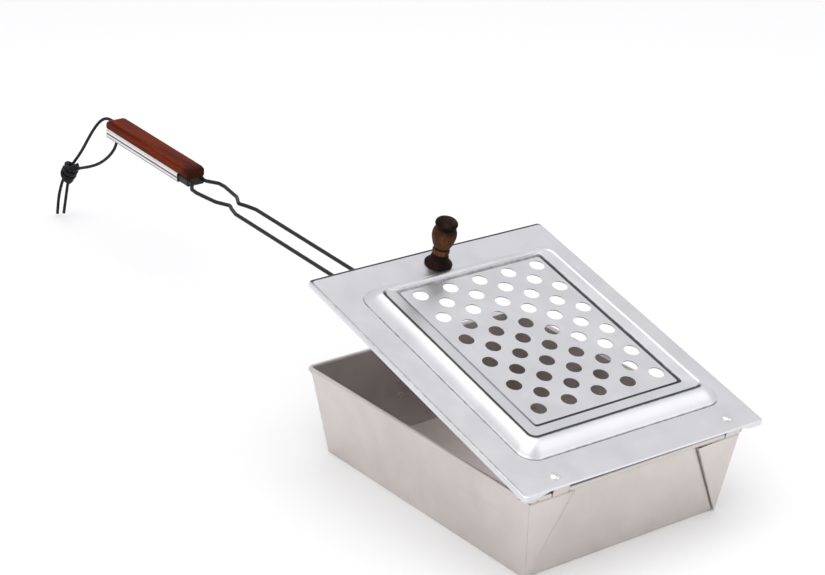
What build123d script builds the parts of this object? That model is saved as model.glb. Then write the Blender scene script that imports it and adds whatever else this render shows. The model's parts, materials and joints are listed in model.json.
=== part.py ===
from build123d import *
import os
from math import atan, cos, degrees, hypot, radians, sin, tan

os.makedirs("parts", exist_ok=True)

# Popcorn pan with a hinged perforated lid and a long wire handle.
# Origin: centre of the pan's flat bottom. +Z up, +Y towards the handle, hinge at -Y.

# ---------------------------------------------------------------- driving dimensions (mm)
rim_width = 230.0
rim_length = 300.0
bottom_width = 202.0
bottom_length = 266.0
pan_height = 79.0
pan_sheet = 0.7

rim_wire_radius = 1.6
roll_radius = 2.3
roll_bore = 1.62
rim_corner_radius = 5.0
gusset_width = 46.0
gusset_thickness = 1.4
corner_slit = 1.8
corner_slit_from_corner = 10.0

lid_width = 249.0
lid_length = 306.5
lid_sheet = 0.7
lid_lip = 3.8
lid_overhang = 5.3
lid_rise = 8.2
lid_offset = 4.0
lid_skew = -0.6
lid_corner_radius = 3.0
lip_return = 15.0
rest_opening = 14.4

plateau_base = (206.5, 240.2)
plateau_base_centre = (5.7, 147.4)
plateau_crest = (180.0, 211.5)
plateau_crest_centre = (7.0, 148.8)
plateau_height = 10.0
panel_size = (152.7, 194.2)
panel_centre = (6.9, 153.2)
panel_height = 7.5

hole_diameter = 13.5
hole_pitch = 31.1
hole_row_pitch = 16.45
hole_field_centre = (9.7, 156.3)
hole_rows = 11

strap_width = 16.0
strap_sheet = 0.8
strap_bore = 1.7
strap_leaf = 19.0
strap_x = (-82.0, 100.0)
notch_width = 18.0
notch_depth = 3.3
hinge_rivet_v = 8.0
rivet_shank = 2.0
rivet_head = 4.0
rivet_dome = 2.0

knob_u = -3.0
knob_v = 280.7
knob_screw_radius = 1.75
knob_screw_length = 24.0

handle_wire_radius = 1.9
handle_tilt = 2.8
handle_start = (0.0, 150.0, 95.8)
leg_half_gap = 11.5
bracket_width = 56.0
bracket_height = 26.0
bracket_sheet = 0.9
bracket_centre_height = 38.0
bracket_rivet_x = 21.5
bracket_rivet_y = 7.0

grip_start = 361.0
grip_length = 158.5
grip_width = 20.8
grip_wood_height = 10.7
channel_depth = 8.1
channel_sheet = 0.8
ferrule_length = 17.0
wire_cover = 0.4
grip_screw_at = (397.0, 494.0)
lace_bore_at = 514.0
lace_bore_height = 8.0
lace_radius = 1.6

# ---------------------------------------------------------------- derived places and planes
rim_half_x = rim_width / 2 - roll_radius
rim_half_y = rim_length / 2 - roll_radius
rim_z = pan_height - roll_radius
wall_top_x = rim_half_x - rim_wire_radius
wall_top_y = rim_half_y - rim_wire_radius
end_slope = atan((wall_top_y - bottom_length / 2) / rim_z)

opening = radians(rest_opening)
lid_normal = Vector(0, -sin(opening), cos(opening))
lid_along = Vector(0, cos(opening), sin(opening))
pivot = Vector(0, -rim_half_y, rim_z)
skewed_x = Vector(1, 0, 0).rotate(Axis((0, 0, 0), lid_normal), lid_skew)

# Lid planes lie on the underside of the lid's flange; local y runs from the hinge line.
lid_plane = Plane(
    origin=pivot + lid_normal * lid_rise + Vector(lid_offset, 0, 0),
    x_dir=skewed_x,
    z_dir=lid_normal,
)
strap_plane = Plane(origin=pivot + lid_normal * lid_rise, x_dir=(1, 0, 0), z_dir=lid_normal)

hinge_wall = Plane(
    origin=(0, -bottom_length / 2, 0),
    x_dir=(1, 0, 0),
    z_dir=(0, -cos(end_slope), -sin(end_slope)),
)
handle_wall = Plane(
    origin=(0, bottom_length / 2, 0),
    x_dir=(-1, 0, 0),
    z_dir=(0, cos(end_slope), -sin(end_slope)),
)
tilt = radians(handle_tilt)
handle_plane = Plane(
    origin=handle_start,
    x_dir=(1, 0, 0),
    z_dir=(0, -sin(tilt), cos(tilt)),
)


def along_handle(x, s, h):
    """A point given across, along and above the handle's centre line."""
    return handle_plane.from_local_coords(Vector(x, s, h))


def half_size(z, margin=0.0):
    """Half width and half length of the tapered tray at a height, inset by a margin."""
    share = z / rim_z
    half_x = bottom_width / 2 + share * (wall_top_x - bottom_width / 2)
    half_y = bottom_length / 2 + share * (wall_top_y - bottom_length / 2)
    return half_x - margin, half_y - margin


def finish(name, part):
    """Label a piece and write its STEP file."""
    part.label = name
    export_step(part, f"parts/{name}.step")


# ---------------------------------------------------------------- pan
with BuildPart() as pan_body:
    for level in (0.0, rim_z):
        half_x, half_y = half_size(level)
        with BuildSketch(Plane.XY.offset(level)):
            Rectangle(2 * half_x, 2 * half_y)
    loft(ruled=True)
    # The fold gussets lie doubled against both end walls, from the rim to the bottom corners.
    wall_rise = (rim_z - notch_depth) / cos(end_slope)
    top_x = half_size(rim_z - notch_depth)[0]
    for side in (-1, 1):
        with BuildSketch(hinge_wall):
            with BuildLine():
                Polyline(
                    (side * bottom_width / 2, 0),
                    (side * top_x, wall_rise),
                    (side * (top_x - gusset_width), wall_rise),
                    close=True,
                )
            make_face()
        gusset = extrude(amount=gusset_thickness)
        mirror(gusset, about=Plane.XZ)
    # Rolled rim around the wire.
    with BuildLine(Plane.XY.offset(rim_z)) as roll_path:
        FilletPolyline(
            (rim_half_x, -rim_half_y),
            (rim_half_x, rim_half_y),
            (-rim_half_x, rim_half_y),
            (-rim_half_x, -rim_half_y),
            close=True,
            radius=rim_corner_radius,
        )
    roll_section = Plane(origin=roll_path.line @ 0, z_dir=roll_path.line % 0)
    with BuildSketch(roll_section):
        Circle(roll_radius)
    sweep(path=roll_path.line)
    # Inside of the tray.
    inset = pan_sheet / cos(end_slope)
    for level in (pan_sheet, pan_height + 1):
        half_x, half_y = half_size(level, inset)
        with BuildSketch(Plane.XY.offset(level)):
            Rectangle(2 * half_x, 2 * half_y)
    loft(ruled=True, mode=Mode.SUBTRACT)
    # Bore of the roll, which the rim wire fills.
    with BuildSketch(roll_section):
        Circle(roll_bore)
    sweep(path=roll_path.line, mode=Mode.SUBTRACT)
    # Windows in the rolled rim for the two hinge straps.
    with Locations([(x, -rim_half_y, rim_z - notch_depth) for x in strap_x]):
        Box(
            notch_width,
            2 * notch_depth,
            3 * notch_depth,
            align=(Align.CENTER, Align.CENTER, Align.MIN),
            mode=Mode.SUBTRACT,
        )
    # Slits beside each corner, where the roll is snipped for folding.
    slit_x = rim_width / 2 - corner_slit_from_corner
    slit_y = rim_length / 2 - corner_slit_from_corner
    for sx in (-1, 1):
        for sy in (-1, 1):
            with Locations((sx * slit_x, sy * (rim_half_y + roll_radius), rim_z - roll_radius)):
                Box(corner_slit, 2 * roll_radius, 2 * roll_radius, mode=Mode.SUBTRACT)
            with Locations((sx * (rim_half_x + roll_radius), sy * slit_y, rim_z - roll_radius)):
                Box(2 * roll_radius, corner_slit, 2 * roll_radius, mode=Mode.SUBTRACT)
    # Rivet holes for the handle bracket.
    rivet_row = bracket_centre_height / cos(end_slope)
    with BuildSketch(handle_wall.offset(-3 * pan_sheet)):
        with Locations((0, rivet_row)):
            with GridLocations(2 * bracket_rivet_x, 2 * bracket_rivet_y, 2, 2):
                Circle(1.6)
    extrude(amount=6 * pan_sheet, mode=Mode.SUBTRACT)
finish("pan_body", pan_body.part)

with BuildPart() as rim_wire:
    with BuildLine(Plane.XY.offset(rim_z)) as wire_path:
        FilletPolyline(
            (rim_half_x, -rim_half_y),
            (rim_half_x, rim_half_y),
            (-rim_half_x, rim_half_y),
            (-rim_half_x, -rim_half_y),
            close=True,
            radius=rim_corner_radius,
        )
    with BuildSketch(Plane(origin=wire_path.line @ 0, z_dir=wire_path.line % 0)):
        Circle(rim_wire_radius)
    sweep(path=wire_path.line)
finish("rim_wire", rim_wire.part)

# ---------------------------------------------------------------- lid
lid_centre_v = lid_length / 2 - lid_overhang
crest_step = 2 * lid_sheet
crest_top = plateau_height + lid_sheet


def plateau_sketch(size, centre, height, radius):
    """A rounded rectangle of the raised bead at a height above the flange's underside."""
    with BuildSketch(lid_plane.offset(height)) as outline:
        with Locations(centre):
            RectangleRounded(size[0], size[1], radius)
    return outline.sketch


with BuildPart() as lid_panel:
    with BuildSketch(lid_plane.offset(-lid_lip)):
        with Locations((0, lid_centre_v)):
            RectangleRounded(lid_width, lid_length, lid_corner_radius)
    extrude(amount=lid_lip + lid_sheet)
    with BuildSketch(lid_plane.offset(-lid_lip)):
        with Locations((0, lid_centre_v)):
            RectangleRounded(
                lid_width - 2 * lid_sheet,
                lid_length - 2 * lid_sheet,
                lid_corner_radius - lid_sheet,
            )
    extrude(amount=lid_lip, mode=Mode.SUBTRACT)
    # The lip is left off along the hinge edge, apart from its two ends.
    with BuildSketch(lid_plane.offset(-lid_lip)):
        with Locations((0, -lid_overhang)):
            Rectangle(lid_width - 2 * lip_return, 4 * lid_sheet)
    extrude(amount=lid_lip, mode=Mode.SUBTRACT)
    # Raised bead: up to the crest, hollow beneath, then down to the sunken panel.
    loft(
        [
            plateau_sketch(plateau_base, plateau_base_centre, lid_sheet, 15),
            plateau_sketch(plateau_crest, plateau_crest_centre, crest_top, 7),
        ],
        ruled=True,
    )
    hollow_base = (plateau_base[0] - crest_step, plateau_base[1] - crest_step)
    hollow_crest = (plateau_crest[0] - crest_step, plateau_crest[1] - crest_step)
    loft(
        [
            plateau_sketch(hollow_base, plateau_base_centre, 0, 14.3),
            plateau_sketch(hollow_crest, plateau_crest_centre, plateau_height, 6.3),
        ],
        ruled=True,
        mode=Mode.SUBTRACT,
    )
    tray_base = (panel_size[0] + crest_step, panel_size[1] + crest_step)
    loft(
        [
            plateau_sketch(tray_base, panel_centre, panel_height, 3),
            plateau_sketch(hollow_crest, plateau_crest_centre, plateau_height, 6.3),
        ],
        ruled=True,
    )
    loft(
        [
            plateau_sketch(panel_size, panel_centre, panel_height + lid_sheet, 2.3),
            plateau_sketch(hollow_crest, plateau_crest_centre, crest_top, 6.3),
        ],
        ruled=True,
        mode=Mode.SUBTRACT,
    )
    # Perforations: rows of five and four holes in turn.
    with BuildSketch(lid_plane.offset(panel_height - 1)):
        for row in range(hole_rows):
            count = 5 if row % 2 == 0 else 4
            row_v = hole_field_centre[1] + (row - (hole_rows - 1) / 2) * hole_row_pitch
            with Locations((hole_field_centre[0], row_v)):
                with GridLocations(hole_pitch, 1, count, 1):
                    Circle(hole_diameter / 2)
    extrude(amount=3, mode=Mode.SUBTRACT)
    # Rivet holes and the knob's screw hole.
    with BuildSketch(strap_plane.offset(-lid_sheet)):
        with Locations([(x, hinge_rivet_v) for x in strap_x]):
            Circle(rivet_shank)
    extrude(amount=3 * lid_sheet, mode=Mode.SUBTRACT)
    with BuildSketch(lid_plane.offset(-lid_sheet)):
        with Locations((knob_u, knob_v)):
            Circle(knob_screw_radius)
    extrude(amount=3 * lid_sheet, mode=Mode.SUBTRACT)
finish("lid_panel", lid_panel.part)

# Hinge straps: a leaf under the flange, a leg down outside and a loop round the rim wire.
loop_radius = strap_bore + strap_sheet
for side, x in zip(("left", "right"), strap_x):
    strap_section = Plane(
        origin=pivot + Vector(x, 0, 0),
        x_dir=lid_along,
        z_dir=(1, 0, 0),
    )
    with BuildPart() as hinge_strap:
        with BuildSketch(strap_section):
            Circle(loop_radius)
            with Locations((-loop_radius, 0)):
                Rectangle(strap_sheet, lid_rise, align=(Align.MIN, Align.MIN))
            with Locations((-loop_radius, lid_rise)):
                Rectangle(loop_radius + strap_leaf, strap_sheet, align=(Align.MIN, Align.MAX))
            Circle(strap_bore, mode=Mode.SUBTRACT)
            with Locations((-strap_bore, strap_sheet)):
                Rectangle(
                    strap_sheet,
                    loop_radius,
                    align=(Align.MIN, Align.MIN),
                    mode=Mode.SUBTRACT,
                )
        extrude(amount=strap_width / 2, both=True)
        with BuildSketch(strap_plane.offset(lid_sheet)):
            with Locations((x, hinge_rivet_v)):
                Circle(rivet_shank)
        extrude(amount=-3 * strap_sheet, mode=Mode.SUBTRACT)
    finish(f"hinge_strap_{side}", hinge_strap.part)

rivet_spots = [(x, hinge_rivet_v) for x in strap_x]
with BuildPart() as hinge_rivets:
    with BuildSketch(strap_plane.offset(-2 * strap_sheet)):
        with Locations(rivet_spots):
            Circle(0.8 * rivet_head)
    extrude(amount=strap_sheet)
    with BuildSketch(strap_plane.offset(-strap_sheet)):
        with Locations(rivet_spots):
            Circle(rivet_shank)
    extrude(amount=strap_sheet + lid_sheet)
    with BuildSketch(strap_plane.offset(lid_sheet)):
        with Locations(rivet_spots):
            Circle(rivet_head)
    domes = extrude(amount=rivet_dome)
    fillet(domes.edges().group_by(Axis(pivot, lid_normal))[-1], radius=0.8 * rivet_dome)
finish("hinge_rivets", hinge_rivets.part)

# Turned knob, standing on the free-edge flange.
knob_foot = lid_plane.location * Location((knob_u, knob_v, lid_sheet))
knob_side = Plane(
    origin=knob_foot.position,
    x_dir=lid_plane.x_dir,
    z_dir=-lid_plane.y_dir,
)
with BuildPart() as lid_knob:
    with BuildSketch(knob_side):
        with BuildLine():
            Line((knob_screw_radius, 0), (12.3, 0))
            Line((12.3, 0), (12.3, 1.6))
            Spline((12.3, 1.6), (8.8, 5.0), (7.7, 9.5), tangents=((-1, 0.4), (0, 1)))
            ThreePointArc((7.7, 9.5), (6.7, 11.2), (7.0, 13.0))
            ThreePointArc((7.0, 13.0), (7.6, 14.8), (7.0, 16.6))
            ThreePointArc((7.0, 16.6), (6.5, 18.0), (7.6, 19.6))
            Spline((7.6, 19.6), (10.9, 31.0), (7.7, 38.4), tangents=((0.5, 1), (-0.9, 0.6)))
            ThreePointArc((7.7, 38.4), (10.0, 41.4), (9.0, 44.2))
            Spline((9.0, 44.2), (0, 46.0), tangents=((-1, 0.6), (-1, 0)))
            Line((0, 46.0), (0, knob_screw_length))
            Line((0, knob_screw_length), (knob_screw_radius, knob_screw_length))
            Line((knob_screw_radius, knob_screw_length), (knob_screw_radius, 0))
        make_face()
    revolve(axis=Axis(knob_foot.position, lid_normal))
finish("lid_knob", lid_knob.part)

with BuildPart() as knob_washer:
    with BuildSketch(lid_plane.offset(-1.0)):
        with Locations((knob_u, knob_v)):
            Circle(6)
            Circle(knob_screw_radius, mode=Mode.SUBTRACT)
    extrude(amount=1.0)
finish("knob_washer", knob_washer.part)

with BuildPart() as knob_screw:
    with BuildSketch(lid_plane.offset(-1.0)):
        with Locations((knob_u, knob_v)):
            Circle(knob_screw_radius)
    extrude(amount=1.0 + lid_sheet + knob_screw_length)
    with BuildSketch(lid_plane.offset(-3.2)):
        with Locations((knob_u, knob_v)):
            Circle(3.5)
    extrude(amount=2.2)
finish("knob_screw", knob_screw.part)

# ---------------------------------------------------------------- handle
wall_gap = handle_wire_radius + 0.02


def on_handle_wall(x, height, out):
    """A point over the handle-end wall, at a height and a distance out from it."""
    return handle_wall.from_local_coords(Vector(-x, height / cos(end_slope), out))


wires = []
for side, name in ((-1, "left"), (1, "right")):
    x = side * leg_half_gap
    route = [
        on_handle_wall(x, 21, wall_gap),
        on_handle_wall(x, 56, wall_gap),
        along_handle(x, 26, 0),
        along_handle(x, 270, 0),
        along_handle(side * 8.3, 282, 0),
        along_handle(side * 5.0, 290.5, 0),
        along_handle(side * 12.2, 305, 0),
        along_handle(side * 16.2, 333, 0),
        along_handle(side * 15.6, 343, 0),
        along_handle(side * 7.6, 355, 0),
        along_handle(side * 7.6, 433, 0),
        along_handle(side * 7.6, 433, 8),
    ]
    bends = [14, 14, 8, 5, 3.5, 12, 5, 5, 5, 2.4]
    with BuildPart() as handle_wire:
        with BuildLine() as wire_line:
            FilletPolyline(*route, radius=bends)
        with BuildSketch(Plane(origin=route[0], z_dir=route[1] - route[0])):
            Circle(handle_wire_radius)
        sweep(path=wire_line.line, transition=Transition.ROUND)
    wires.append(handle_wire.part)
    finish(f"handle_wire_{name}", handle_wire.part)

# Pressed bracket that holds both wires against the wall.
bracket_plane = Plane(
    origin=handle_wall.from_local_coords(Vector(0, rivet_row, 0)),
    x_dir=handle_wall.x_dir,
    z_dir=handle_wall.z_dir,
)
bracket_section = Plane(
    origin=bracket_plane.origin,
    x_dir=bracket_plane.x_dir,
    z_dir=-bracket_plane.y_dir,
)
with BuildPart() as handle_bracket:
    with BuildSketch(bracket_section):
        with Locations((0, bracket_sheet / 2)):
            Rectangle(bracket_width, bracket_sheet)
        with Locations((-leg_half_gap, wall_gap), (leg_half_gap, wall_gap)):
            Circle(wall_gap + bracket_sheet)
        with Locations((-leg_half_gap, wall_gap), (leg_half_gap, wall_gap)):
            Circle(wall_gap, mode=Mode.SUBTRACT)
        with Locations((-leg_half_gap, 0), (leg_half_gap, 0)):
            Rectangle(
                2 * wall_gap,
                wall_gap,
                align=(Align.CENTER, Align.MIN),
                mode=Mode.SUBTRACT,
            )
        with Locations((0, 0)):
            Rectangle(
                bracket_width,
                4 * bracket_sheet,
                align=(Align.CENTER, Align.MAX),
                mode=Mode.SUBTRACT,
            )
    extrude(amount=bracket_height / 2, both=True)
    with BuildSketch(bracket_plane):
        with GridLocations(2 * bracket_rivet_x, 2 * bracket_rivet_y, 2, 2):
            Circle(1.6)
    extrude(amount=2 * bracket_sheet, mode=Mode.SUBTRACT)
finish("handle_bracket", handle_bracket.part)

with BuildPart() as bracket_rivets:
    with BuildSketch(bracket_plane.offset(-pan_sheet - 0.8)):
        with GridLocations(2 * bracket_rivet_x, 2 * bracket_rivet_y, 2, 2):
            Circle(2.8)
    extrude(amount=0.8)
    with BuildSketch(bracket_plane.offset(-pan_sheet)):
        with GridLocations(2 * bracket_rivet_x, 2 * bracket_rivet_y, 2, 2):
            Circle(1.6)
    extrude(amount=pan_sheet + bracket_sheet)
    with BuildSketch(bracket_plane.offset(bracket_sheet)):
        with GridLocations(2 * bracket_rivet_x, 2 * bracket_rivet_y, 2, 2):
            Circle(3.4)
    head = extrude(amount=1.7)
    fillet(head.edges().group_by(Axis(bracket_plane.origin, bracket_plane.z_dir))[-1], radius=1.2)
finish("bracket_rivets", bracket_rivets.part)

# Grip: a wood bar over a pressed steel channel, with a ferrule at the wires' mouth.
wood_base = handle_wire_radius + wire_cover
channel_bottom = wood_base - channel_depth


def channel_outline(inset):
    """The channel's section, open at the top, inset by a sheet thickness."""
    half = grip_width / 2 - inset
    low = channel_bottom + inset
    bevel = 2.0 - inset / 2
    return [
        (-half, wood_base),
        (-half, low + bevel),
        (-half + bevel, low),
        (half - bevel, low),
        (half, low + bevel),
        (half, wood_base),
    ]


grip_end = grip_start + grip_length
channel_end = grip_end - 2.5
with BuildPart() as grip_wood:
    with BuildSketch(handle_plane.offset(wood_base)):
        with Locations((0, grip_start + grip_length / 2)):
            Rectangle(grip_width, grip_length)
    extrude(amount=grip_wood_height)
    handle_axis = Axis(handle_plane.origin, handle_plane.y_dir)
    top_edges = grip_wood.edges().filter_by(handle_axis).sort_by(
        Axis(handle_plane.origin, handle_plane.z_dir)
    )[-2:]
    fillet(top_edges, radius=3.6)
    end_face = grip_wood.faces().sort_by(handle_axis)[-1]
    chamfer(end_face.edges(), length=1.6)
    for wire in wires:
        add(wire, mode=Mode.SUBTRACT)
    with BuildSketch(handle_plane):
        with Locations((0, lace_bore_at)):
            Circle(lace_radius)
    extrude(amount=lace_bore_height, mode=Mode.SUBTRACT)
    with BuildSketch(
        Plane(
            origin=along_handle(0, lace_bore_at, lace_bore_height),
            z_dir=handle_plane.y_dir,
        )
    ):
        Circle(lace_radius)
    extrude(amount=grip_end - lace_bore_at + 1, mode=Mode.SUBTRACT)
    with Locations(Plane(along_handle(0, lace_bore_at, lace_bore_height))):
        Sphere(lace_radius, mode=Mode.SUBTRACT)
    with BuildSketch(handle_plane):
        with Locations([(0, s) for s in grip_screw_at]):
            Circle(1.5)
    extrude(amount=9.5, mode=Mode.SUBTRACT)
finish("grip_wood", grip_wood.part)

with BuildPart() as grip_channel:
    channel_section = Plane(
        origin=along_handle(0, grip_start + ferrule_length, 0),
        x_dir=(1, 0, 0),
        z_dir=-handle_plane.y_dir,
    )
    with BuildSketch(channel_section):
        Polygon(*channel_outline(0), align=None)
        Polygon(*channel_outline(channel_sheet), align=None, mode=Mode.SUBTRACT)
    extrude(amount=-(channel_end - grip_start - ferrule_length))
    with BuildSketch(handle_plane.offset(-channel_depth)):
        with Locations((0, lace_bore_at)):
            Circle(lace_radius)
        with Locations([(0, s) for s in grip_screw_at]):
            Circle(1.5)
    extrude(amount=channel_depth, mode=Mode.SUBTRACT)
finish("grip_channel", grip_channel.part)

with BuildPart() as grip_ferrule:
    with BuildSketch(handle_plane.offset(wood_base)):
        with Locations((0, grip_start + ferrule_length / 2)):
            Rectangle(grip_width - 1.2, ferrule_length)
    extrude(amount=-(channel_depth - 0.6))
    fillet(grip_ferrule.edges().filter_by(handle_axis), radius=1.6)
    for wire in wires:
        add(wire, mode=Mode.SUBTRACT)
finish("grip_ferrule", grip_ferrule.part)

with BuildPart() as grip_screws:
    with BuildSketch(handle_plane.offset(channel_bottom)):
        with Locations([(0, s) for s in grip_screw_at]):
            Circle(1.5)
    extrude(amount=9.5 - channel_bottom)
    with BuildSketch(handle_plane.offset(channel_bottom)):
        with Locations([(0, s) for s in grip_screw_at]):
            Circle(3.2)
    extrude(amount=-1.8)
finish("grip_screws", grip_screws.part)


# ---------------------------------------------------------------- lace
def arc_radii(points, share=0.45):
    """The largest arcs that each corner's two runs allow."""
    radii = []
    for before, corner, after in zip(points, points[1:], points[2:]):
        into = corner - before
        out_of = after - corner
        turn = radians(into.get_angle(out_of))
        radii.append(share * min(into.length, out_of.length) / tan(turn / 2))
    return radii


def lace(name, points):
    """A tube of lace along a route of runs and arcs; prints its radii and its volume check."""
    route = [Vector(point) for point in points]
    radii = arc_radii(route)
    with BuildPart() as strand:
        with BuildLine():
            line = FilletPolyline(*route, radius=radii)
        with BuildSketch(Plane(origin=route[0], z_dir=route[1] - route[0])):
            Circle(lace_radius)
        sweep(path=line, transition=Transition.ROUND)
    length = line.length
    expected = 3.14159265 * lace_radius**2 * length
    print(name, "length", round(length, 1), "radii", [round(r, 1) for r in radii])
    print(name, "volume", round(strand.part.volume, 1), "expected", round(expected, 1))
    finish(name, strand.part)
    return strand.part


end_exit = along_handle(0, grip_end, lace_bore_height)
under_exit = along_handle(0, lace_bore_at, wood_base - channel_depth)
inside = along_handle(0, lace_bore_at, lace_bore_height)

lanyard_core = lace("lanyard_core", [under_exit, inside, end_exit])
lanyard_upper = lace(
    "lanyard_upper",
    [
        end_exit,
        along_handle(0, grip_end + 6, lace_bore_height),
        (-0.5, 683.0, 129.2),
        (-2.0, 690.5, 125.8),
        (-3.6, 697.5, 119.4),
        (-5.6, 705.5, 109.2),
        (-7.6, 714.0, 96.5),
        (-9.4, 723.0, 83.0),
        (-11.6, 733.5, 70.0),
        (-13.8, 743.5, 58.5),
        (-16.0, 752.5, 46.0),
        (-17.8, 757.8, 32.0),
        (-19.0, 761.0, 18.0),
        (-19.9, 762.4, 2.4),
    ],
)
lanyard_lower = lace(
    "lanyard_lower",
    [
        under_exit,
        along_handle(0, lace_bore_at, channel_bottom - 5),
        (-0.4, 667.5, 101.5),
        (-1.6, 674.0, 93.0),
        (-3.2, 682.5, 85.0),
        (-5.4, 693.5, 77.0),
        (-8.4, 706.5, 70.5),
        (-11.0, 721.5, 65.0),
        (-13.0, 734.5, 60.0),
        (-14.4, 743.0, 51.0),
        (-15.0, 746.5, 39.0),
        (-15.6, 750.0, 24.0),
        (-16.6, 754.2, 5.0),
    ],
)

# Overhand knot that ties both strands, a closed bulb round them.
knot_top = Vector(-12.2, 734.5, 69.5)
knot_bottom = Vector(-15.8, 750.5, 40.5)
knot_axis = knot_bottom - knot_top
knot_half = knot_axis.length / 2
knot_section = Plane(
    origin=(knot_top + knot_bottom) / 2,
    x_dir=knot_axis,
    z_dir=knot_axis.cross(Vector(0, 0, 1)),
)
with BuildPart() as lanyard_knot:
    with BuildSketch(knot_section):
        with BuildLine():
            Spline((-knot_half, 0), (0, 8.6), (knot_half, 0), tangents=((0, 1), (0, -1)))
            Line((knot_half, 0), (-knot_half, 0))
        make_face()
    revolve(axis=Axis(knot_top, knot_axis))
    add(lanyard_upper, mode=Mode.SUBTRACT)
    add(lanyard_lower, mode=Mode.SUBTRACT)
finish("lanyard_knot", lanyard_knot.part)
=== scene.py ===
"""Long-handled popcorn popper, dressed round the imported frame. Sizes are in millimetres."""

import json
import logging
from dataclasses import dataclass, field
from enum import Enum
from math import cos, exp, pi, radians, sin

import bmesh
import bpy
from mathutils import Matrix, Vector, noise


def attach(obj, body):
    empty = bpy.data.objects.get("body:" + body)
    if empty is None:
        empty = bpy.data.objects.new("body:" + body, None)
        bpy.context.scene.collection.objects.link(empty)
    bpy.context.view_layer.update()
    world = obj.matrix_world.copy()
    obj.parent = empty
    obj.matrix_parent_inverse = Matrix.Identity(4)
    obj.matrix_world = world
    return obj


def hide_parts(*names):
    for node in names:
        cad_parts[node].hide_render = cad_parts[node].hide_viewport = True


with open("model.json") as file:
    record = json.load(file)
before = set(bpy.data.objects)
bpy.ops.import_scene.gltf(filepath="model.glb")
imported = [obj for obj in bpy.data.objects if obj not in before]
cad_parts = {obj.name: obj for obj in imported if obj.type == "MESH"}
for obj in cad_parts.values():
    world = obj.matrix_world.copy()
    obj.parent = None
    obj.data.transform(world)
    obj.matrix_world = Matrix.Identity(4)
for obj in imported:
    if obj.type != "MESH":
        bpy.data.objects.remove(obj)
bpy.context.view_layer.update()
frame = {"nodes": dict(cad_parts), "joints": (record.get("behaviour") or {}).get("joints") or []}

log = logging.getLogger("popper")
MM = 0.001


class Body(Enum):
    """The two rigid bodies of the popper."""

    PAN = "pan"
    LID = "lid"


class Coat(Enum):
    """How heavily a surface is lacquered: weight and roughness of the clear layer."""

    NONE = (0.0, 0.3)
    WAXED = (0.25, 0.35)
    LACQUER = (0.0, 0.16)


# ------------------------------------------------------------------ places
@dataclass(frozen=True)
class Seat:
    """A local frame given by its origin (mm) and three unit axes."""

    origin: Vector
    across: Vector
    along: Vector
    up: Vector

    def at(self, u: float, v: float, h: float = 0.0) -> Vector:
        """Place of a local point.

        Args:
            u: Distance across.
            v: Distance along.
            h: Height over the seat.

        Returns:
            The point in the row frame, in metres.
        """
        return (self.origin + self.across * u + self.along * v + self.up * h) * MM


def lid_seat(shift: float = 4.0, skew: float = -0.6) -> Seat:
    """Seat on the underside of the lid's flange, its origin on the hinge line.

    Args:
        shift: How far the lid sits to the right.
        skew: Turn of the lid in its own plane, in degrees.

    Returns:
        The seat at the rest pose.
    """
    opening = radians(14.4)
    lid_rise = 8.2
    pivot = Vector(frame["joints"][0]["pos_m"]) / MM
    up = Vector((0, -sin(opening), cos(opening)))
    turn = Matrix.Rotation(radians(skew), 3, up)
    across = turn @ Vector((1, 0, 0))
    return Seat(pivot + up * lid_rise + Vector((shift, 0, 0)), across, up.cross(across), up)


def handle_seat() -> Seat:
    """Seat on the plane of the handle wires, its origin over the pan's rim."""
    tilt = radians(2.8)
    up = Vector((0, -sin(tilt), cos(tilt)))
    across = Vector((1, 0, 0))
    return Seat(Vector((0, 150.0, 95.8)), across, up.cross(across), up)


def hinge_wall_seat() -> Seat:
    """Seat on the outer face of the pan's hinge-end wall, `up` pointing outwards."""
    rise = Vector((0, -13.1, 76.7)).normalized()
    across = Vector((1, 0, 0))
    return Seat(Vector((0, -133.0, 0)), across, rise, across.cross(rise))


# ------------------------------------------------------------------ meshes
def mesh_object(name: str, points: list[Vector], faces: list[tuple[int, ...]]) -> bpy.types.Object:
    """Make a smooth-shaded mesh object at the origin.

    Args:
        name: Name of the piece.
        points: Vertices in the row frame, in metres.
        faces: Vertex numbers of each face, outward side anticlockwise.

    Returns:
        The linked object.
    """
    mesh = bpy.data.meshes.new(name)
    mesh.from_pydata([tuple(point) for point in points], [], faces)
    mesh.shade_smooth()
    piece = bpy.data.objects.new(name, mesh)
    bpy.context.scene.collection.objects.link(piece)
    return piece


def loft(
    name: str,
    rings: list[list[Vector]],
    caps: bool = False,
    closed: bool = True,
) -> bpy.types.Object:
    """Skin a row of rings with quads.

    Args:
        name: Name of the piece.
        rings: Rings with the same number of points each.
        caps: Whether the first and last rings are closed with a face.
        closed: Whether each ring runs round to its own start.

    Returns:
        The lofted object.
    """
    count = len(rings[0])
    spans = count if closed else count - 1
    faces: list[tuple[int, ...]] = []
    for row in range(len(rings) - 1):
        for step in range(spans):
            here = row * count + step
            ahead = row * count + (step + 1) % count
            faces.append((here, ahead, ahead + count, here + count))
    if caps:
        faces.append(tuple(reversed(range(count))))
        last = (len(rings) - 1) * count
        faces.append(tuple(range(last, last + count)))
    return mesh_object(name, [point for ring in rings for point in ring], faces)


def mark_points(piece: bpy.types.Object, name: str, values: list[float]) -> None:
    """Store one number per vertex under a name that a finish can read.

    Args:
        piece: The mesh object.
        name: Attribute name.
        values: One value for each vertex.
    """
    layer = piece.data.attributes.new(name, "FLOAT", "POINT")
    layer.data.foreach_set("value", values)


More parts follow.
